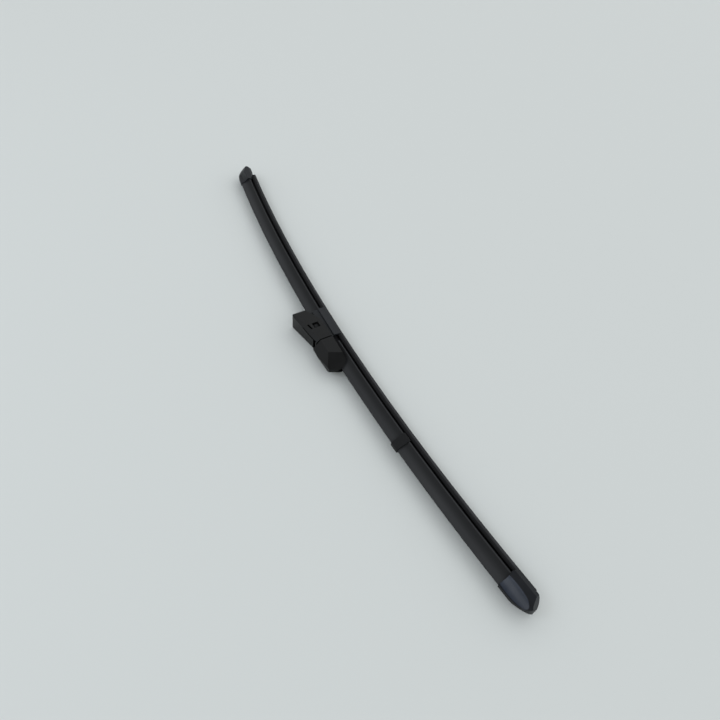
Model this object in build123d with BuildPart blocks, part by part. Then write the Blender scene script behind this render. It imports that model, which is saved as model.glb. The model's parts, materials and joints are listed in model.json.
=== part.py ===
from build123d import *
import os
from math import asin, cos, degrees, hypot, radians, sin

# A flat wiper blade lying on its side, in millimetres. X runs along the blade, +Y points
# away from the glass and +Z is up. The origin is on the floor under the blade's centre.
# In a section, h is the height above the rails' mid-plane, away from the glass, and w is
# the distance up from the blade's mid-plane.

# Blade
blade_length = 600.0
bow_drop = 19.6  # the ends come this much nearer to the glass than the middle
pivot_height = 10.0  # pivot axis above the rails' mid-plane
pivot_x = 7.5  # pivot axis from the blade's middle
pivot_y = 12.5  # pivot axis from the origin

# Spring rails
rail_width = 3.2
rail_thickness = 0.9
rail_spacing = 1.6  # gap between the two rails
rail_inset = 8.0  # rail ends inside the blade's ends

# Wiper rubber
rubber_inset = 10.0  # rubber ends inside the blade's ends
groove_clearance = 0.1
head_half = 2.3
head_thickness = 1.6
shoulder_half = 2.8
shoulder_thickness = 3.6
neck_half = 0.5
neck_length = 2.65
wedge_half = 2.4
wedge_side = 1.0
wedge_length = 2.85
lip_half = 0.35
lip_length = 2.4

# Spoiler extrusion
spoiler_half = 6.6
spoiler_top = 8.2  # apex above the rails' mid-plane
spoiler_edge = 1.0  # height of the upright strip along its lower edge
apex_half = 1.1
apex_round = 0.7
flank_hollow = 0.8
claw_depth = 2.9  # lower edge below the rails' mid-plane
rail_clearance = 0.15
rubber_clearance = 0.2
spoiler_gap_far = 0.2  # from the connector cover
spoiler_gap_near = 8.5

# End caps
cap_length = 29.0
cap_half = 7.8
cap_proud = 0.6  # hood above the spoiler's flanks
cap_hood_start = 1.2  # the hood over the spoiler starts here, the wings at the cap's start
cap_wing_height = -3.4
cap_skirt_start = 2.0
cap_bottom = -11.0  # lower edge at the start of the skirt
cap_tip = -9.7  # and at the lip-side corner of the outer end
cap_bottom_half = 4.5
cap_crease = -5.7
cap_tip_inset = 5.0  # lip-side corner short of the outer end
cap_curve_start = 10.0
cap_widest = -0.5  # height of the outermost point
cap_flank_foot = 0.3  # lower edge of the hollow flank
cap_hollow = 1.2
flank_rise = 2.0  # degrees that the hollow flank climbs towards the end
front_high = (2.1, 2.0)  # front facet's edge on the side: inset from the outer end, height
front_low = (5.3, -4.3)
front_foot = (0.0, -1.0, 2.0)  # inset, height and distance from the mid-plane
back_high = (8.5, 0.4)  # back facet's edge on the other side
back_low = (0.7, -3.2)
back_ridge = (4.0, 5.0, -1.0)
back_sweep = (11.5, -7.5)  # the back's swept edge ends here, from the cap's start
back_foot = (15.0, -8.9)  # and its lower edge starts here
cap_overlap = 6.0  # spoiler inside the hood
cap_wall = 6.5  # solid end wall beyond the rails
cap_seat = 0.12

# Spoiler clip
clip_place = -140.0
clip_width = 8.8
clip_proud = 1.0
clip_hook = 0.75
clip_reach = 2.7  # how far the hooks reach in under the spoiler's edge
clip_seat = 0.12

# Rail bracket and pivot pin
sheet = 0.9
bracket_length = 26.0
bracket_floor = 2.6  # above the rails' mid-plane
foot_half = 3.2  # gap between the folded feet
ear_half = 4.1  # outer faces of the ears
ear_length = 11.0
ear_round = 3.1
pin_radius = 2.2
pin_half = 8.0
press_clearance = 0.02
running_clearance = 0.05

# Connector cover
cover_length = 38.5
cover_shift = 2.7  # its middle beyond the pivot
cover_half = 7.2
cover_top = 5.0
cover_top_half = 5.6
cover_ledge = -0.6  # ledge that runs below the adapter's sides
cover_neck_half = 5.9
cover_waist = -1.6
cover_bottom = -8.9
cover_bottom_half = 6.4
cover_inner_half = 5.2
cover_seat = 0.15

# Adapter, in its own u along the body (tail positive) and v away from the glass
adapter_tilt = 3.6  # turned from the blade as it lies
adapter_width = 18.5
adapter_wall = 1.6
adapter_tail = 22.3
tail_lean = 1.0  # the tail's top stands out beyond its lower edge
adapter_parting = -18.7
parting_gap = 0.6
tail_top = 14.8
parting_top = 9.7
tail_crease = 12.8
parting_crease = 5.4
parting_flat = 5.5  # half-width of the flat top at the parting
tail_bottom = 0.5
adapter_bottom = -7.2
tail_slope_start = 6.4
tail_round = 1.6
roof = 1.8
web_bottom = 3.4
web = 1.6
socket_half = 6.0
pad_radius = 4.0
pad_gap = 0.3
blind_skin = 0.8
window_length = 6.6
window_height = 6.4
window_depth = 2.0
slot_length = 6.8
slot_height = 1.8
slot_rise = 6.8
slot_turn = 10.5  # degrees, in line with the bevel's lower edge
tongue_root = 4.5
tongue_end = -13.5
tongue_root_half = 6.1
tongue_end_half = 5.3
tongue_slot = 0.9
tongue_gap = 3.8

# Adapter nose
nose_top = 13.2  # at the parting
nose_peak = 14.2
nose_peak_place = -31.0
nose_tip_top = 12.2
nose_tip = -49.6
nose_rake = 0.5  # the end leans out this much for each millimetre down
nose_flat = 0.9  # half-width of the flat top at the parting
nose_crease = 5.6
taper_crease = 6.3
taper_start = -32.6
nose_bottom = -5.4
nose_bottom_place = -42.2
nose_tip_half = 1.8
nose_play = 3.0  # degrees from rest until the nose meets the spoiler
ridge_clearance = 0.4

os.makedirs("parts", exist_ok=True)

half_length = blade_length / 2
bow_radius = (half_length**2 + bow_drop**2) / (2 * bow_drop)
z_mid = adapter_width / 2
rail_y = pivot_y - pivot_height
bow_axis = Axis((0, rail_y - bow_radius, 0), (0, 0, -1))
pivot = Plane(origin=(pivot_x, pivot_y, z_mid), x_dir=(1, 0, 0), z_dir=(0, 0, 1))

groove = rail_thickness / 2 + groove_clearance
rail_outer = rail_spacing / 2 + rail_width
slot_half = rail_outer + rail_clearance
slot_thickness = rail_thickness + 2 * rail_clearance
head_slot = groove + head_thickness + rubber_clearance
head_slot_half = head_half + rubber_clearance
rubber_slot_half = shoulder_half + rubber_clearance
shoulder_end = -groove - shoulder_thickness
neck_end = shoulder_end - neck_length
wedge_edge = neck_end - wedge_side
lip_start = wedge_edge - wedge_length
lip_tip = lip_start - lip_length
flank_low = spoiler_edge - claw_depth
cap_start = half_length - cap_length
cover_near = pivot_x + cover_shift - cover_length / 2
cover_far = pivot_x + cover_shift + cover_length / 2
overrun = 2.0


# Section plane square to the bowed blade at x, with h along its x and w along its y.
def bow_plane(x):
    angle = asin(x / bow_radius)
    across = (sin(angle), cos(angle), 0)
    along = (cos(angle), -sin(angle), 0)
    centre = (bow_radius * sin(angle), rail_y - bow_radius + bow_radius * cos(angle), z_mid)
    return Plane(origin=centre, x_dir=across, z_dir=along)


def bow_arc(x0, x1):
    return degrees(asin(x1 / bow_radius) - asin(x0 / bow_radius))


# Middle of a hollow flank between two points of a half section.
def hollow_middle(lower, upper, hollow):
    run, rise = lower[1] - upper[1], upper[0] - lower[0]
    chord = hypot(run, rise)
    middle_h = (lower[0] + upper[0]) / 2 - hollow * run / chord
    middle_w = (lower[1] + upper[1]) / 2 - hollow * rise / chord
    return (middle_h, middle_w)


# Full outline of the spoiler without its channel, grown by a clearance.
def spoiler_outline(grow=0.0):
    lower = (flank_low, spoiler_half)
    upper = (spoiler_top, apex_half)
    with BuildSketch() as outline:
        with BuildLine():
            Polyline((-claw_depth, 0), (-claw_depth, spoiler_half), lower)
            ThreePointArc(lower, hollow_middle(lower, upper, flank_hollow), upper)
            Line(upper, (spoiler_top, 0))
            mirror(about=Plane.XZ)
        make_face()
        fillet(outline.vertices().group_by(Axis.X)[-1], apex_round)
        if grow:
            offset(amount=grow, kind=Kind.INTERSECTION)
    return outline.sketch


# Room for the rails and the rubber in whatever grips them, open below.
def rail_channel(bottom):
    with BuildSketch() as channel:
        Rectangle(slot_thickness, 2 * slot_half)
        with BuildLine():
            Polyline(
                (0, -head_slot_half), (head_slot, -head_slot_half),
                (head_slot, head_slot_half), (0, head_slot_half), close=True,
            )
        make_face()
        with BuildLine():
            Polyline(
                (0, -rubber_slot_half), (0, rubber_slot_half),
                (bottom, rubber_slot_half), (bottom, -rubber_slot_half), close=True,
            )
        make_face()
    return channel.sketch


# Wiper rubber: head and web between the rails, shoulder, neck, wedge and lip.
rubber_end = half_length - rubber_inset
with BuildPart() as wiper_rubber:
    with BuildSketch(bow_plane(-rubber_end)):
        with BuildLine():
            Polyline(
                (groove + head_thickness, 0),
                (groove + head_thickness, head_half),
                (groove, head_half),
                (groove, rail_spacing / 2 - groove_clearance),
                (-groove, rail_spacing / 2 - groove_clearance),
                (-groove, shoulder_half),
                (shoulder_end, shoulder_half),
                (shoulder_end, neck_half),
                (neck_end, neck_half),
                (neck_end, wedge_half),
                (wedge_edge, wedge_half),
                (lip_start, lip_half),
                (lip_tip, lip_half),
                (lip_tip, 0),
            )
            mirror(about=Plane.XZ)
        make_face()
    revolve(axis=bow_axis, revolution_arc=bow_arc(-rubber_end, rubber_end))
wiper_rubber.part.label = "wiper_rubber"
export_step(wiper_rubber.part, "parts/wiper_rubber.step")

# Two flat spring rails in the rubber's side grooves.
rail_end = half_length - rail_inset
for side, rail_name in ((1, "spring_rail_upper"), (-1, "spring_rail_lower")):
    with BuildPart() as spring_rail:
        with BuildSketch(bow_plane(-rail_end)):
            with Locations((0, side * (rail_spacing + rail_width) / 2)):
                Rectangle(rail_thickness, rail_width)
        revolve(axis=bow_axis, revolution_arc=bow_arc(-rail_end, rail_end))
    spring_rail.part.label = rail_name
    export_step(spring_rail.part, f"parts/{rail_name}.step")

# Spoilers: hollow-flanked extrusions whose claws close round the rails.
spoiler_end = cap_start + cap_hood_start + cap_overlap
spoiler_spans = (
    ("spoiler_far", cover_far + spoiler_gap_far, spoiler_end),
    ("spoiler_near", -spoiler_end, cover_near - spoiler_gap_near),
)
for spoiler_name, x0, x1 in spoiler_spans:
    with BuildPart() as spoiler:
        with BuildSketch(bow_plane(x0)):
            add(spoiler_outline())
            add(rail_channel(-claw_depth), mode=Mode.SUBTRACT)
        revolve(axis=bow_axis, revolution_arc=bow_arc(x0, x1))
    spoiler.part.label = spoiler_name
    export_step(spoiler.part, f"parts/{spoiler_name}.step")

# End caps: a hood over the spoiler's end with climbing hollow flanks and a bevelled skirt.
# Both are one moulding, turned end for end, so the far cap shows its back.
cap_plane = bow_plane(cap_start)
cap_plan = Plane(origin=cap_plane.origin, x_dir=cap_plane.z_dir, z_dir=(0, 0, 1))
climb = radians(flank_rise)
flank_plane = Plane(
    origin=cap_plane.origin,
    x_dir=cap_plane.x_dir * cos(climb) - cap_plane.z_dir * sin(climb),
    z_dir=cap_plane.z_dir * cos(climb) + cap_plane.x_dir * sin(climb),
)
cap_top = spoiler_top + cap_proud
cap_room = cap_hood_start + cap_overlap + cap_seat


# Slanted facet through three points given by inset from the outer end, height and w.
def cap_facet(*corners):
    first, second, third = (
        cap_plan.from_local_coords(Vector(cap_length - inset, height, w)) for inset, height, w in corners
    )
    normal = (second - first).cross(third - first)
    outward = normal * (1 if normal.dot(cap_plane.z_dir) > 0 else -1)
    return Plane(origin=first, x_dir=second - first, z_dir=outward)


with BuildPart() as end_cap:
    with BuildSketch(cap_plan):
        with BuildLine():
            outer = EllipticalCenterArc(
                (cap_curve_start, cap_widest),
                cap_length - cap_curve_start, cap_top - cap_widest, 0, arc_size=90,
            )
            tip = (cap_length - cap_tip_inset, cap_tip)
            TangentArc(outer @ 0, tip, tangent=(0, -1))
            Polyline(
                tip,
                (cap_skirt_start, cap_bottom),
                (0, cap_wing_height),
                (cap_hood_start, flank_low),
                (cap_hood_start, cap_top),
                outer @ 1,
            )
        make_face()
    extrude(amount=cap_half, both=True)
    with BuildSketch(cap_plane.offset(-overrun)):
        with BuildLine():
            Polyline(
                (cap_bottom, 0), (cap_bottom, cap_bottom_half), (cap_crease, cap_half),
                (cap_top, cap_half), (cap_top, 0),
            )
            mirror(about=Plane.XZ)
        make_face()
    extrude(amount=cap_length + 2 * overrun, mode=Mode.INTERSECT)
    flank_lower = (cap_flank_foot, cap_half)
    flank_upper = (cap_top, apex_half + cap_proud)
    with BuildSketch(flank_plane.offset(-overrun)):
        with BuildLine():
            Polyline((cap_bottom - cap_length, 0), (cap_bottom - cap_length, cap_half), flank_lower)
            flank_bend = hollow_middle(flank_lower, flank_upper, cap_hollow)
            ThreePointArc(flank_lower, flank_bend, flank_upper)
            Line(flank_upper, (cap_top, 0))
            mirror(about=Plane.XZ)
        make_face()
    extrude(amount=cap_length + 2 * overrun, mode=Mode.INTERSECT)
    # One slanted facet on each side of the outer end, and the back's swept skirt.
    split(
        bisect_by=cap_facet((*front_high, cap_half), (*front_low, cap_half), front_foot),
        keep=Keep.BOTTOM,
    )
    split(
        bisect_by=cap_facet((*back_high, -cap_half), (*back_low, -cap_half), back_ridge),
        keep=Keep.BOTTOM,
    )
    with BuildSketch(cap_plan):
        Polygon(
            (-overrun, cap_wing_height),
            (0, cap_wing_height),
            back_sweep,
            back_foot,
            (cap_length + overrun, back_foot[1]),
            (cap_length + overrun, cap_bottom - overrun),
            (-overrun, cap_bottom - overrun),
            align=None,
        )
    extrude(amount=-cap_half - overrun, mode=Mode.SUBTRACT)
    with BuildSketch(cap_plane.offset(-overrun)):
        add(spoiler_outline(cap_seat))
    extrude(amount=overrun + cap_room, mode=Mode.SUBTRACT)
    with BuildSketch(cap_plane.offset(-overrun)):
        add(rail_channel(lip_tip))
    extrude(amount=overrun + cap_length - cap_wall, mode=Mode.SUBTRACT)
end_cap_near = mirror(end_cap.part, about=Plane.YZ)
end_cap_far = end_cap_near.rotate(Axis((0, 0, z_mid), (0, 1, 0)), 180)
for cap, cap_name in ((end_cap_far, "end_cap_far"), (end_cap_near, "end_cap_near")):
    cap.label = cap_name
    export_step(cap, f"parts/{cap_name}.step")

# Spoiler clip: a flat-sided sleeve that hooks under the spoiler's edges.
clip_start = clip_place - clip_width / 2
clip_bottom = -claw_depth - clip_seat - clip_hook
with BuildPart() as spoiler_clip:
    with BuildSketch(bow_plane(clip_start)):
        with BuildLine():
            Polyline(
                (clip_bottom, 0),
                (clip_bottom, spoiler_half + clip_proud),
                (flank_low, spoiler_half + clip_proud),
                (spoiler_top + clip_proud, apex_half + clip_proud),
                (spoiler_top + clip_proud, 0),
            )
            mirror(about=Plane.XZ)
        make_face()
        add(spoiler_outline(clip_seat), mode=Mode.SUBTRACT)
        with Locations((clip_bottom, 0)):
            Rectangle(2 * clip_hook + claw_depth, 2 * (spoiler_half - clip_reach), mode=Mode.SUBTRACT)
    revolve(axis=bow_axis, revolution_arc=bow_arc(clip_start, clip_start + clip_width))
spoiler_clip.part.label = "spoiler_clip"
export_step(spoiler_clip.part, "parts/spoiler_clip.step")

# Rail bracket: folded steel, feet under the rails and two ears for the pin.
leg_inner = slot_half
leg_outer = leg_inner + sheet
foot_top = -slot_thickness / 2
bracket_near = pivot_x - bracket_length / 2
bracket_far = pivot_x + bracket_length / 2
with BuildPart() as rail_bracket:
    with BuildSketch(bow_plane(bracket_near)):
        with BuildLine():
            Polyline(
                (bracket_floor + sheet, 0),
                (bracket_floor + sheet, leg_outer),
                (foot_top - sheet, leg_outer),
                (foot_top - sheet, foot_half),
                (foot_top, foot_half),
                (foot_top, leg_inner),
                (bracket_floor, leg_inner),
                (bracket_floor, 0),
            )
            mirror(about=Plane.XZ)
        make_face()
    revolve(axis=bow_axis, revolution_arc=bow_arc(bracket_near, bracket_far))
    ear_foot = bracket_floor + sheet / 2 - pivot_height
    with BuildSketch(pivot.offset(-ear_half), pivot.offset(ear_half - sheet)):
        Circle(ear_round)
        Polygon(
            (-ear_round, 0), (-ear_length / 2, ear_foot), (ear_length / 2, ear_foot), (ear_round, 0),
            align=None,
        )
        Circle(pin_radius + press_clearance, mode=Mode.SUBTRACT)
    extrude(amount=sheet)
rail_bracket.part.label = "rail_bracket"
export_step(rail_bracket.part, "parts/rail_bracket.step")

with BuildPart() as pivot_pin:
    with BuildSketch(pivot.offset(-pin_half)):
        Circle(pin_radius)
    extrude(amount=2 * pin_half)
    chamfer(pivot_pin.edges().filter_by(GeomType.CIRCLE), pin_radius / 6)
pivot_pin.part.label = "pivot_pin"
export_step(pivot_pin.part, "parts/pivot_pin.step")

# Connector cover: a skirt that hangs over the bracket, open below for the rubber.
pocket_near = bracket_near - cover_seat
pocket_far = bracket_far + cover_seat
with BuildPart() as connector_cover:
    with BuildSketch(bow_plane(cover_near)):
        with BuildLine():
            Polyline(
                (cover_bottom, 0),
                (cover_bottom, cover_bottom_half),
                (cover_waist, cover_half),
                (cover_ledge, cover_half),
                (cover_ledge, cover_neck_half),
                (cover_top, cover_top_half),
                (cover_top, 0),
            )
            mirror(about=Plane.XZ)
        make_face()
        add(rail_channel(cover_bottom), mode=Mode.SUBTRACT)
        with BuildLine():
            Polyline(
                (slot_thickness / 2, -cover_inner_half), (slot_thickness / 2, cover_inner_half),
                (cover_bottom, cover_inner_half), (cover_bottom, -cover_inner_half), close=True,
            )
        make_face(mode=Mode.SUBTRACT)
    revolve(axis=bow_axis, revolution_arc=bow_arc(cover_near, cover_far))
    with BuildSketch(bow_plane(pocket_near)):
        pocket_top = bracket_floor + sheet + cover_seat
        pocket_bottom = foot_top - sheet - cover_seat
        with Locations(((pocket_top + pocket_bottom) / 2, 0)):
            Rectangle(pocket_top - pocket_bottom, 2 * (leg_outer + cover_seat))
    revolve(axis=bow_axis, revolution_arc=bow_arc(pocket_near, pocket_far), mode=Mode.SUBTRACT)
    with BuildSketch(pivot):
        with Locations((0, cover_top - pivot_height)):
            Rectangle(ear_length + 2 * cover_seat, 2 * (cover_top - bracket_floor))
    extrude(amount=ear_half + cover_seat, both=True, mode=Mode.SUBTRACT)
connector_cover.part.label = "connector_cover"
export_step(connector_cover.part, "parts/connector_cover.step")

# Adapter: a bevelled house section on the pivot pin, tilted as it lies.
tilt = radians(adapter_tilt)
rock = Plane(origin=pivot.origin, x_dir=(cos(tilt), sin(tilt), 0), z_dir=(0, 0, 1))
rock_plan = Plane(origin=rock.origin, x_dir=rock.x_dir, z_dir=rock.y_dir)
adapter_half = adapter_width / 2
inner_half = adapter_half - adapter_wall
body_slope = (tail_top - parting_top) / (adapter_tail + tail_lean - adapter_parting)


def body_top(u):
    return parting_top + body_slope * (u - adapter_parting)


# Sloping plane through a bevel's lower edge on one side and a point on the flat top.
def bevel_plane(crease_near, crease_far, flat_edge, side):
    low = rock.from_local_coords(Vector(*crease_near, side * adapter_half))
    along = rock.from_local_coords(Vector(*crease_far, side * adapter_half)) - low
    across = rock.from_local_coords(Vector(crease_near[0], flat_edge[0], side * flat_edge[1])) - low
    normal = along.cross(across)
    outward = normal * (1 if normal.dot(rock.y_dir) > 0 else -1)
    return Plane(origin=low, x_dir=along, z_dir=outward)


with BuildPart() as adapter_body:
    with BuildSketch(rock) as tail_profile:
        Polygon(
            (adapter_tail, tail_bottom),
            (adapter_tail + tail_lean, tail_top),
            (adapter_parting, parting_top),
            (adapter_parting, adapter_bottom),
            (tail_slope_start, adapter_bottom),
            align=None,
        )
        fillet(tail_profile.vertices().sort_by(Axis.X)[-2:], tail_round)
    extrude(amount=adapter_half, both=True)
    with BuildSketch(rock_plan.offset(adapter_bottom - overrun)) as tail_plan:
        with Locations((adapter_parting, 0)):
            Rectangle(
                adapter_tail + tail_lean - adapter_parting, adapter_width,
                align=(Align.MIN, Align.CENTER),
            )
        fillet(tail_plan.vertices().group_by(Axis.X)[-1], tail_round)
    extrude(amount=tail_top - adapter_bottom + 2 * overrun, mode=Mode.INTERSECT)
    for side in (1, -1):
        split(
            bisect_by=bevel_plane(
                (adapter_parting, parting_crease), (adapter_tail, tail_crease),
                (parting_top, parting_flat), side,
            ),
            keep=Keep.BOTTOM,
        )
    # Room below the web for the bracket, the cover and the spoiler's ridge.
    with BuildSketch(rock):
        with Locations(((adapter_tail + adapter_parting) / 2, web_bottom)):
            Rectangle(
                adapter_tail - adapter_parting + 2 * overrun, web_bottom - adapter_bottom + overrun,
                align=(Align.CENTER, Align.MAX),
            )
    extrude(amount=inner_half, both=True, mode=Mode.SUBTRACT)
    # Arm socket between the web and the roof.
    with BuildSketch(rock):
        Polygon(
            (adapter_tail + overrun, web_bottom + web),
            (adapter_tail + overrun, body_top(adapter_tail + overrun) - roof),
            (adapter_parting - overrun, body_top(adapter_parting - overrun) - roof),
            (adapter_parting - overrun, web_bottom + web),
            align=None,
        )
    extrude(amount=socket_half, both=True, mode=Mode.SUBTRACT)
    # Bearing pads on both cheeks.
    pad_inner = ear_half + pad_gap
    with BuildSketch(rock.offset(pad_inner), rock.offset(-inner_half)):
        Circle(pad_radius)
    extrude(amount=inner_half - pad_inner)
    with BuildSketch(rock.offset(blind_skin - adapter_half)):
        Circle(pin_radius + running_clearance)
    extrude(amount=2 * adapter_half, mode=Mode.SUBTRACT)
    # Side window over the pin's end, and the slot above it.
    with BuildSketch(rock.offset(adapter_half)):
        Rectangle(window_length, window_height)
    extrude(amount=-window_depth, mode=Mode.SUBTRACT)
    with BuildSketch(rock.offset(adapter_half)):
        with Locations((0, slot_rise)):
            Rectangle(slot_length, slot_height, rotation=slot_turn)
    extrude(amount=socket_half - adapter_half, mode=Mode.SUBTRACT)
    # Snap tongue: two side slots along the bevels and a gap at its free end.
    with BuildSketch(rock_plan.offset(web_bottom + web)):
        for side in (1, -1):
            Polygon(
                (tongue_root, side * tongue_root_half),
                (tongue_root, side * (tongue_root_half + tongue_slot)),
                (tongue_end, side * (tongue_end_half + tongue_slot)),
                (tongue_end, side * tongue_end_half),
                align=None,
            )
        with Locations((tongue_end, 0)):
            Rectangle(
                tongue_gap, 2 * (tongue_end_half + tongue_slot), align=(Align.MAX, Align.CENTER)
            )
    extrude(amount=tail_top, mode=Mode.SUBTRACT)
adapter_body.part.label = "adapter_body"
export_step(adapter_body.part, "parts/adapter_body.step")

# Adapter nose: a tapered, raked cover that straddles the spoiler's ridge.
nose_start = adapter_parting - parting_gap
rake_dir = rock.from_local_coords(Vector(-nose_rake, -1)) - rock.origin
rake_length = nose_peak - adapter_bottom + overrun
nose_end = nose_tip - nose_rake * rake_length


def nose_profile(wall):
    return (
        (nose_start + wall, adapter_bottom - wall),
        (nose_start + wall, nose_top - wall),
        (nose_peak_place, nose_peak - wall),
        (nose_end, nose_tip_top - wall),
        (nose_end, nose_bottom - wall),
        (nose_bottom_place, nose_bottom - wall),
        (nose_start, adapter_bottom - wall),
    )


def nose_plan(wall):
    return (
        (0, adapter_half - wall),
        (taper_start + wall / 2, adapter_half - wall),
        (nose_tip + wall, nose_tip_half - wall / 2),
        (nose_tip + wall, wall / 2 - nose_tip_half),
        (taper_start + wall / 2, wall - adapter_half),
        (0, wall - adapter_half),
    )


# Bevelled and tapered nose, or with a wall thickness the room inside it.
def nose_block(wall):
    with BuildPart() as block:
        with BuildSketch(rock):
            Polygon(*nose_profile(wall), align=None)
        extrude(amount=adapter_half - wall, both=True)
        for side in (1, -1):
            split(
                bisect_by=bevel_plane(
                    (nose_start, nose_crease), (taper_start, taper_crease),
                    (nose_top, nose_flat), side,
                ).offset(-wall),
                keep=Keep.BOTTOM,
            )
        with BuildSketch(rock_plan.offset(nose_peak)):
            Polygon(*nose_plan(wall), align=None)
        extrude(amount=2 * rake_length, dir=rake_dir, mode=Mode.INTERSECT)
    return block.part


with BuildPart() as adapter_nose:
    add(nose_block(0))
    add(nose_block(adapter_wall), mode=Mode.SUBTRACT)
    # Notch that straddles the spoiler's ridge when the nose is fully down.
    play = radians(nose_play)
    rail_foot = Vector(-pivot_height * sin(play), -pivot_height * cos(play))
    ridge_plane = Plane(
        origin=pivot.from_local_coords(rail_foot),
        x_dir=(sin(play), cos(play), 0),
        z_dir=(-cos(play), sin(play), 0),
    )
    with BuildSketch(ridge_plane):
        add(spoiler_outline(ridge_clearance))
        with Locations((-claw_depth, 0)):
            Rectangle(
                pivot_height, 2 * (spoiler_half + ridge_clearance), align=(Align.MAX, Align.CENTER)
            )
    extrude(amount=half_length, mode=Mode.SUBTRACT)
adapter_nose.part.label = "adapter_nose"
export_step(adapter_nose.part, "parts/adapter_nose.step")
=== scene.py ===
import bmesh
import bpy
import json
from math import radians
from mathutils import Euler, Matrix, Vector


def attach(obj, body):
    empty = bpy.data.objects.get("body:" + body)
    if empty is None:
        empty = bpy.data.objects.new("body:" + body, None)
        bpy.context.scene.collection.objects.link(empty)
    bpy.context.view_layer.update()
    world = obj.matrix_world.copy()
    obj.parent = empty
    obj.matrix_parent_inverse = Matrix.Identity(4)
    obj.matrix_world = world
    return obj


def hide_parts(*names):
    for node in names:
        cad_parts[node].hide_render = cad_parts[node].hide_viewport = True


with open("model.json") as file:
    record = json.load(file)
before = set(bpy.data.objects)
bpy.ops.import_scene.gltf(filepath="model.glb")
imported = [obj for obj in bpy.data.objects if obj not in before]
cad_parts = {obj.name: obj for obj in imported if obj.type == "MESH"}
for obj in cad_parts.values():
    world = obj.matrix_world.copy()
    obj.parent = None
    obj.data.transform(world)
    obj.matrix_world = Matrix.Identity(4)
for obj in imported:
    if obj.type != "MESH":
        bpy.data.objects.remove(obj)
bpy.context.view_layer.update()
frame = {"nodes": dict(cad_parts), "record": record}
print("frame loaded:", len(frame["nodes"]), "nodes")

scene = bpy.context.scene
perMetre = 1000  # millimetres


# Materials

noiseSpan = (0.3, 0.7)  # where most of a noise's values lie


def newMaterial(name):
    mat = bpy.data.materials.new(name)
    mat.use_nodes = True
    tree = mat.node_tree
    shader = tree.nodes["Principled BSDF"]
    coords = tree.nodes.new("ShaderNodeTexCoord")
    return tree, shader, coords.outputs["Object"], mat


def stretch(tree, coord, scale):
    mapping = tree.nodes.new("ShaderNodeMapping")
    mapping.inputs["Scale"].default_value = scale
    tree.links.new(coord, mapping.inputs["Vector"])
    return mapping.outputs["Vector"]


def noise(tree, coord, scale, detail, rough=0.5):
    tex = tree.nodes.new("ShaderNodeTexNoise")
    tex.inputs["Scale"].default_value = scale
    tex.inputs["Detail"].default_value = detail
    tex.inputs["Roughness"].default_value = rough
    tree.links.new(coord, tex.inputs["Vector"])
    return tex.outputs["Fac"]


def spread(tree, value, low, high, start=noiseSpan[0], end=noiseSpan[1]):
    node = tree.nodes.new("ShaderNodeMapRange")
    node.inputs["From Min"].default_value = start
    node.inputs["From Max"].default_value = end
    node.inputs["To Min"].default_value = low
    node.inputs["To Max"].default_value = high
    tree.links.new(value, node.inputs["Value"])
    return node.outputs["Result"]


def tint(tree, value, dark, light):
    ramp = tree.nodes.new("ShaderNodeValToRGB")
    first, last = ramp.color_ramp.elements
    first.position, last.position = noiseSpan
    first.color = (*dark, 1)
    last.color = (*light, 1)
    tree.links.new(value, ramp.inputs["Fac"])
    return ramp.outputs["Color"]


def levels(tree, value, stops):
    ramp = tree.nodes.new("ShaderNodeValToRGB")
    elements = ramp.color_ramp.elements
    elements.remove(elements[1])
    for place, level in stops:
        stop = elements[0] if place == 0 else elements.new(place)
        stop.position = place
        stop.color = (level, level, level, 1)
    tree.links.new(value, ramp.inputs["Fac"])
    return ramp.outputs["Color"]


def grain(tree, shader, value, strength, distance, under=None):
    bump = tree.nodes.new("ShaderNodeBump")
    bump.inputs["Strength"].default_value = strength
    bump.inputs["Distance"].default_value = distance
    tree.links.new(value, bump.inputs["Height"])
    if under:
        tree.links.new(under, bump.inputs["Normal"])
    tree.links.new(bump.outputs["Normal"], shader.inputs["Normal"])
    return bump.outputs["Normal"]


def combine(tree, operation, first, second):
    node = tree.nodes.new("ShaderNodeMath")
    node.operation = operation
    tree.links.new(first, node.inputs[0])
    tree.links.new(second, node.inputs[1])
    return node.outputs["Value"]


# The Mix node's sockets go by number, because its number and colour sockets share their names
def blendColours(tree, factor, first, second):
    blend = tree.nodes.new("ShaderNodeMix")
    blend.data_type = "RGBA"
    tree.links.new(factor, blend.inputs["Factor"])
    tree.links.new(first, blend.inputs[6])
    tree.links.new(second, blend.inputs[7])
    return blend.outputs[2]


def blendTo(tree, factor, first, number):
    blend = tree.nodes.new("ShaderNodeMix")
    tree.links.new(factor, blend.inputs["Factor"])
    tree.links.new(first, blend.inputs[2])
    blend.inputs[3].default_value = number
    return blend.outputs[0]


# Distance from a point as seen from above, in units of half
def flatReach(tree, coord, centre, turn=0, half=(1, 1)):
    flat = tree.nodes.new("ShaderNodeMapping")
    flat.vector_type = "TEXTURE"
    flat.inputs["Location"].default_value = (*centre, 0)
    flat.inputs["Rotation"].default_value = (0, 0, radians(turn))
    flat.inputs["Scale"].default_value = (*half, 1)
    tree.links.new(stretch(tree, coord, (1, 1, 0)), flat.inputs["Vector"])
    reach = tree.nodes.new("ShaderNodeVectorMath")
    reach.operation = "LENGTH"
    tree.links.new(flat.outputs["Vector"], reach.inputs[0])
    return reach.outputs["Value"]


# Centre of the blade's bow: a tone by the distance from it follows the section along the whole blade
bowCentre = (0, -2.303210)

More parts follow.
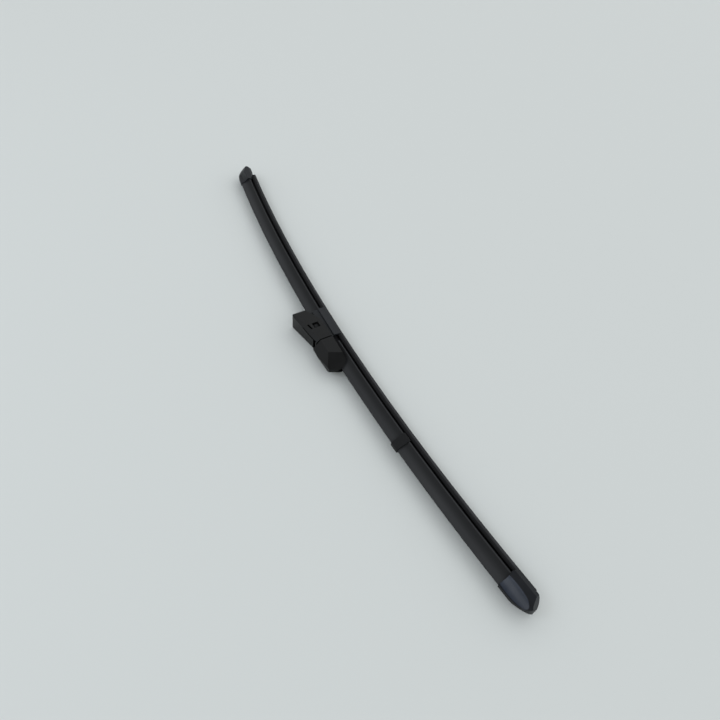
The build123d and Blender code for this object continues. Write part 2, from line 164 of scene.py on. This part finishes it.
# Extruded elastomer: draw lines run along the blade. Painted light and shade: the face is lighter towards
# the spoiler's tip and darker towards the rails, with a painted highlight along the lower edge.
spoilerFinish = {
    "dark": (0.0115, 0.0118, 0.0124), "light": (0.016, 0.0163, 0.017),
    "rough": (0.50, 0.62), "specular": 0.09,
    # painted light: lighter tones laid on the face towards its tip and along its lower edge
    "paintedLitDark": (0.029, 0.0293, 0.031), "paintedLitLight": (0.037, 0.0373, 0.039),
    "paintedLightBand": (2.302500, 2.312500),
    "paintedLight": ((0.0, 0.85), (0.10, 0.85), (0.16, 0.0), (0.38, 0.12), (0.80, 1.0)),
    "cloud": (14, 70, 70), "lines": (12, 900, 900), "pits": 2600,
    "lineDepth": (0.12, 0.0002), "pitDepth": (0.10, 0.0001),
}


def spoilerMaterial(look):
    tree, shader, coord, mat = newMaterial("spoilerElastomer")
    cloud = noise(tree, stretch(tree, coord, look["cloud"]), 1.0, 4.0)
    lines = noise(tree, stretch(tree, coord, look["lines"]), 1.0, 2.0)
    pits = noise(tree, coord, look["pits"], 2.0)
    # painted light and shade: lighter towards the tip and in a thin highlight along the lower edge,
    # darker just above that edge
    band = spread(tree, flatReach(tree, coord, bowCentre), 0, 1, *look["paintedLightBand"])
    paintedLight = levels(tree, band, look["paintedLight"])
    plainTone = tint(tree, cloud, look["dark"], look["light"])
    paintedLitTone = tint(tree, cloud, look["paintedLitDark"], look["paintedLitLight"])
    tree.links.new(blendColours(tree, paintedLight, plainTone, paintedLitTone), shader.inputs["Base Color"])
    tree.links.new(spread(tree, cloud, *look["rough"]), shader.inputs["Roughness"])
    pitted = grain(tree, shader, pits, *look["pitDepth"])
    grain(tree, shader, lines, *look["lineDepth"], pitted)
    shader.inputs["Specular IOR Level"].default_value = look["specular"]
    return mat


# Squeegee rubber: matte black, with painted light on the wedge and lip, which turn greyer towards the
# lip's edge where its curved flank catches light
rubberFinish = {
    "dark": (0.006, 0.006, 0.0065), "light": (0.010, 0.010, 0.011),
    "rough": (0.62, 0.78), "specular": 0.05,
    # painted light: greyer tones towards the lip's edge
    "paintedLipDark": (0.036, 0.036, 0.037), "paintedLipLight": (0.052, 0.052, 0.054),
    "paintedLipBand": (2.295900, 2.294000),
    "streaks": (20, 320, 320), "pits": 1800, "pitDepth": (0.15, 0.0001),
}


def rubberMaterial(look):
    tree, shader, coord, mat = newMaterial("squeegeeRubber")
    streaks = noise(tree, stretch(tree, coord, look["streaks"]), 1.0, 4.0)
    pits = noise(tree, coord, look["pits"], 2.0)
    # painted light: the rubber turns greyer towards the lip's edge
    paintedLipMask = spread(tree, flatReach(tree, coord, bowCentre), 0, 1, *look["paintedLipBand"])
    rubberTone = tint(tree, streaks, look["dark"], look["light"])
    paintedLipTone = tint(tree, streaks, look["paintedLipDark"], look["paintedLipLight"])
    tree.links.new(blendColours(tree, paintedLipMask, rubberTone, paintedLipTone), shader.inputs["Base Color"])
    tree.links.new(spread(tree, streaks, *look["rough"]), shader.inputs["Roughness"])
    grain(tree, shader, pits, *look["pitDepth"])
    shader.inputs["Specular IOR Level"].default_value = look["specular"]
    return mat


# Moulded plastics share a fine spark-eroded grain
mouldGrain = {"cloud": 55, "erosion": 3200, "depth": 0.0001}

clipFinish = {
    "dark": (0.007, 0.007, 0.0075), "light": (0.010, 0.010, 0.0105),
    "rough": (0.42, 0.52), "grain": 0.18, "specular": 0.12,
}
coverFinish = {
    "dark": (0.009, 0.010, 0.012), "light": (0.013, 0.0145, 0.017),
    "rough": (0.42, 0.52), "grain": 0.18, "specular": 0.2,
}
adapterFinish = {
    "dark": (0.003, 0.003, 0.003), "light": (0.005, 0.005, 0.005),
    "rough": (0.34, 0.43), "grain": 0.22, "specular": 0.19,
}


def mouldNoises(tree, coord):
    cloud = noise(tree, coord, mouldGrain["cloud"], 4.0)
    erosion = noise(tree, coord, mouldGrain["erosion"], 3.0, 0.6)
    return cloud, erosion


def mouldedMaterial(name, look):
    tree, shader, coord, mat = newMaterial(name)
    cloud, erosion = mouldNoises(tree, coord)
    tree.links.new(tint(tree, cloud, look["dark"], look["light"]), shader.inputs["Base Color"])
    tree.links.new(spread(tree, cloud, *look["rough"]), shader.inputs["Roughness"])
    grain(tree, shader, erosion, look["grain"], mouldGrain["depth"])
    shader.inputs["Specular IOR Level"].default_value = look["specular"]
    return mat


# End caps: satin plastic, with a glossier panel in the hollow of the front flank; the panel's bluish,
# lighter colour is a painted reflection of a window.
# The far cap is the same moulding turned end for end, so its panel is underneath.
capFinish = {
    "dark": (0.010, 0.0106, 0.0124), "light": (0.014, 0.0149, 0.0174),
    "rough": (0.32, 0.40), "grain": 0.06, "specular": 0.09,
    # painted reflection: the panel's bluish, lighter tones; its roughness and coat are the real gloss
    "panelReflectionDark": (0.020, 0.0245, 0.036), "panelReflectionLight": (0.040, 0.047, 0.063),
    "panelRough": 0.16, "panelCoat": 0.6, "coatRough": 0.14,
    "panelCentre": (0.28060, -0.01064), "panelHalf": (0.0165, 0.0043),
    "panelTurn": 6.75, "panelRim": (0.96, 1.0),
    "midHeight": 0.00925, "midBlend": 0.0002,
}


# 1 on the panel of the near cap, with side -1, or of the far cap, with side 1
def capPanel(tree, coord, side, look):
    centre = (side * look["panelCentre"][0], look["panelCentre"][1])
    reach = flatReach(tree, coord, centre, -side * look["panelTurn"], look["panelHalf"])
    inside = spread(tree, reach, 1, 0, *look["panelRim"])
    split = tree.nodes.new("ShaderNodeSeparateXYZ")
    tree.links.new(coord, split.inputs["Vector"])
    start = look["midHeight"] + side * look["midBlend"]
    end = look["midHeight"] - side * look["midBlend"]
    face = spread(tree, split.outputs["Z"], 0, 1, start, end)
    return combine(tree, "MULTIPLY", inside, face)


def capMaterial(look):
    tree, shader, coord, mat = newMaterial("capPlastic")
    cloud, erosion = mouldNoises(tree, coord)
    nearPanel = capPanel(tree, coord, -1, look)
    farPanel = capPanel(tree, coord, 1, look)
    panel = combine(tree, "MAXIMUM", nearPanel, farPanel)
    plain = tint(tree, cloud, look["dark"], look["light"])
    # painted reflection: bluish, lighter colour on the panel, while its lower roughness and coat are real
    smooth = tint(tree, cloud, look["panelReflectionDark"], look["panelReflectionLight"])
    satin = spread(tree, cloud, *look["rough"])
    tree.links.new(blendColours(tree, panel, plain, smooth), shader.inputs["Base Color"])
    tree.links.new(blendTo(tree, panel, satin, look["panelRough"]), shader.inputs["Roughness"])
    tree.links.new(spread(tree, panel, 0, look["panelCoat"], 0, 1), shader.inputs["Coat Weight"])
    grain(tree, shader, erosion, look["grain"], mouldGrain["depth"])
    shader.inputs["Coat Roughness"].default_value = look["coatRough"]
    shader.inputs["Specular IOR Level"].default_value = look["specular"]
    return mat


# Steel with marks along the way it was drawn
steelDepth = (0.08, 0.0001)
railFinish = {
    "dark": (0.24, 0.25, 0.26), "light": (0.36, 0.37, 0.38),
    "rough": (0.28, 0.42), "marks": (30, 900, 900),
}
bracketFinish = {
    "dark": (0.016, 0.016, 0.017), "light": (0.026, 0.026, 0.027),
    "rough": (0.45, 0.58), "marks": (300, 300, 300),
}


def steelMaterial(name, look):
    tree, shader, coord, mat = newMaterial(name)
    marks = noise(tree, stretch(tree, coord, look["marks"]), 1.0, 5.0, 0.6)
    tree.links.new(tint(tree, marks, look["dark"], look["light"]), shader.inputs["Base Color"])
    tree.links.new(spread(tree, marks, *look["rough"]), shader.inputs["Roughness"])
    grain(tree, shader, marks, *steelDepth)
    shader.inputs["Metallic"].default_value = 1.0
    return mat


finishes = {
    "spoiler": spoilerMaterial(spoilerFinish),
    "wiper_rubber": rubberMaterial(rubberFinish),
    "end_cap": capMaterial(capFinish),
    "spoiler_clip": mouldedMaterial("clipPlastic", clipFinish),
    "connector_cover": mouldedMaterial("coverPlastic", coverFinish),
    "adapter": mouldedMaterial("adapterPlastic", adapterFinish),
    "spring_steel": steelMaterial("railSteel", railFinish),
    "bracket_steel": steelMaterial("phosphatedSteel", bracketFinish),
}
print("materials made:", len(finishes))


# Pieces

slotOf = {s["node"]: s["material_slot"] for s in frame["record"]["subparts"]}
bodies = frame["record"]["behaviour"]["bodies"]
bodyOf = {node: body for body, members in bodies.items() for node in members}

# Seams opened a little wider, in millimetres: the verts of one level along a direction are moved along it
seamShift = {
    "adapter_nose": {"along": (0.998027, 0.062791, 0), "level": (-11.2, -10.9), "move": -0.5},
    "connector_cover": {"along": (0, 1, 0), "level": (1.6, 2.0), "move": -0.6},
}

# Rounding of each piece's edges in millimetres and the angle below which an edge stays as it is.
# The adapter's thin walls have only their outer edges rounded.
edgeRound = {
    "adapter_body": {"round": 0.35, "angle": 18, "outer": True},
    "adapter_nose": {"round": 0.5, "angle": 14, "outer": True},
    "end_cap_far": {"round": 0.2, "angle": 24, "clamp": False},
    "end_cap_near": {"round": 0.2, "angle": 24, "clamp": False},
    "spoiler_clip": {"round": 0.25, "angle": 24, "clamp": True},
    "connector_cover": {"round": 0.3, "angle": 24, "clamp": True},
    "spoiler_far": {"round": 0.3, "angle": 30, "clamp": True},
    "spoiler_near": {"round": 0.3, "angle": 30, "clamp": True},
    "wiper_rubber": {"round": 0.1, "angle": 30, "clamp": True},
}

# Angles in degrees, gaps in metres
meshSet = {
    "mergeGap": 1e-6, "flatAngle": 0.6, "hullGap": 0.00005,
    "segments": 3, "sharpAngle": 40, "normalWeight": 100,
}


# Edges that nothing else of the piece stands in front of
def outerEdges(bm, angle):
    corners = [v.co.copy() for v in bm.verts]
    outer = []
    for edge in bm.edges:
        if len(edge.link_faces) != 2 or edge.calc_face_angle_signed(0) < radians(angle):
            continue
        facing = (edge.link_faces[0].normal + edge.link_faces[1].normal).normalized()
        top = facing.dot(edge.verts[0].co) + meshSet["hullGap"]
        if all(facing.dot(corner) < top for corner in corners):
            outer.append(edge)
    return outer


def openSeam(bm, seam):
    along = Vector(seam["along"])
    low, high = seam["level"]
    rim = [v for v in bm.verts if low < v.co.dot(along) * perMetre < high]
    bmesh.ops.translate(bm, vec=along * seam["move"] / perMetre, verts=rim)


def roundOuterEdges(bm, values):
    bm.normal_update()
    bmesh.ops.bevel(
        bm, geom=outerEdges(bm, values["angle"]), offset=values["round"] / perMetre,
        offset_type="OFFSET", affect="EDGES", segments=meshSet["segments"], profile=0.5,
        material=-1, clamp_overlap=True, miter_outer="ARC",
    )
    bm.normal_update()
    for edge in bm.edges:
        edge.smooth = edge.calc_face_angle(0) < radians(meshSet["sharpAngle"])


def roundByModifier(piece, values):
    bevel = piece.modifiers.new("edges", "BEVEL")
    bevel.width = values["round"] / perMetre
    bevel.segments = meshSet["segments"]
    bevel.limit_method = "ANGLE"
    bevel.angle_limit = radians(values["angle"])
    bevel.use_clamp_overlap = values["clamp"]
    bevel.miter_outer = "MITER_ARC"


def roundedPiece(node):
    values = edgeRound[node]
    outerOnly = values.get("outer", False)
    mesh = frame["nodes"][node].data.copy()
    bm = bmesh.new()
    bm.from_mesh(mesh)
    bmesh.ops.remove_doubles(bm, verts=bm.verts, dist=meshSet["mergeGap"])
    if node in seamShift:
        openSeam(bm, seamShift[node])
    bmesh.ops.dissolve_limit(
        bm, angle_limit=radians(meshSet["flatAngle"]), verts=bm.verts, edges=bm.edges,
        delimit={"NORMAL"},
    )
    if outerOnly:
        roundOuterEdges(bm, values)
    for face in bm.faces:
        face.smooth = True
    bm.to_mesh(mesh)
    bm.free()
    piece = bpy.data.objects.new(node + "_piece", mesh)
    scene.collection.objects.link(piece)
    if not outerOnly:
        roundByModifier(piece, values)
    evenNormals = piece.modifiers.new("normals", "WEIGHTED_NORMAL")
    evenNormals.weight = meshSet["normalWeight"]
    evenNormals.keep_sharp = True
    mesh.materials.clear()
    mesh.materials.append(finishes[slotOf[node]])
    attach(piece, bodyOf[node])
    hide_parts(node)


for node in edgeRound:
    roundedPiece(node)
print("edges rounded on", len(edgeRound), "pieces")

# The steel pieces keep their CAD shapes
for node, obj in frame["nodes"].items():
    if node not in edgeRound:
        obj.data.materials.clear()
        obj.data.materials.append(finishes[slotOf[node]])
print("steel pieces finished")


# Floor

floorSet = {"radius": 40.0, "sides": 160, "colour": (0.625, 0.642, 0.630), "rough": 0.6}


def makeFloor():
    bm = bmesh.new()
    bmesh.ops.create_circle(bm, cap_ends=True, radius=floorSet["radius"], segments=floorSet["sides"])
    mesh = bpy.data.meshes.new("floor")
    bm.to_mesh(mesh)
    bm.free()
    floor = bpy.data.objects.new("floor", mesh)
    scene.collection.objects.link(floor)
    tree, shader, coord, mat = newMaterial("paleFloor")
    shader.inputs["Base Color"].default_value = (*floorSet["colour"], 1)
    shader.inputs["Roughness"].default_value = floorSet["rough"]
    mesh.materials.append(mat)


makeFloor()
print("floor laid")


# Light

# Soft room light, darker overhead and at the horizon, and one small bluish window
lightSet = {
    "sky": (0.95, 0.985, 1.0), "strength": 2.35, "lean": (-0.4, -0.35, 0),
    "heights": (
        (0.0, 0.16), (0.15, 0.36), (0.3, 0.52), (0.5, 0.58), (0.7, 0.54), (0.85, 0.32), (1.0, 0.05),
    ),
    "window": {"place": (0.22, 1.07, 1.06), "size": 0.55, "power": 2.0, "colour": (0.78, 0.88, 1.0)},
}


def windowLight(values):
    data = bpy.data.lights.new("windowLight", "AREA")
    data.shape = "DISK"
    data.size = values["size"]
    data.energy = values["power"]
    data.color = values["colour"]
    lamp = bpy.data.objects.new("windowLight", data)
    lamp.location = values["place"]
    lamp.rotation_euler = (-Vector(values["place"])).to_track_quat("-Z", "Y").to_euler()
    scene.collection.objects.link(lamp)


def roomLight():
    world = bpy.data.worlds.new("room")
    world.use_nodes = True
    tree = world.node_tree
    background = tree.nodes["Background"]
    background.inputs["Color"].default_value = (*lightSet["sky"], 1)
    way = tree.nodes.new("ShaderNodeTexCoord").outputs["Generated"]
    split = tree.nodes.new("ShaderNodeSeparateXYZ")
    tree.links.new(way, split.inputs["Vector"])
    byHeight = levels(tree, split.outputs["Z"], lightSet["heights"])
    lean = tree.nodes.new("ShaderNodeVectorMath")
    lean.operation = "DOT_PRODUCT"
    lean.inputs[1].default_value = lightSet["lean"]
    tree.links.new(way, lean.inputs[0])
    bySide = tree.nodes.new("ShaderNodeMath")
    bySide.operation = "ADD"
    bySide.inputs[1].default_value = lightSet["strength"]
    tree.links.new(lean.outputs["Value"], bySide.inputs[0])
    level = combine(tree, "MULTIPLY", bySide.outputs["Value"], byHeight)
    tree.links.new(level, background.inputs["Strength"])
    scene.world = world


windowLight(lightSet["window"])
roomLight()
print("lights set")


# Camera

cameraSet = {
    "place": (-0.349344, 0.182807, 0.421657), "turn": (41.1027, -4.6294, -116.9371),
    "lens": 29.09, "sensor": 36, "nearest": 0.01,
}


def placeCamera():
    data = bpy.data.cameras.new("camera")
    data.sensor_width = cameraSet["sensor"]
    data.lens = cameraSet["lens"]
    data.clip_start = cameraSet["nearest"]
    camera = bpy.data.objects.new("camera", data)
    camera.location = cameraSet["place"]
    camera.rotation_euler = Euler([radians(angle) for angle in cameraSet["turn"]])
    scene.collection.objects.link(camera)
    scene.camera = camera


placeCamera()
scene.view_settings.view_transform = "Standard"
print("camera placed")
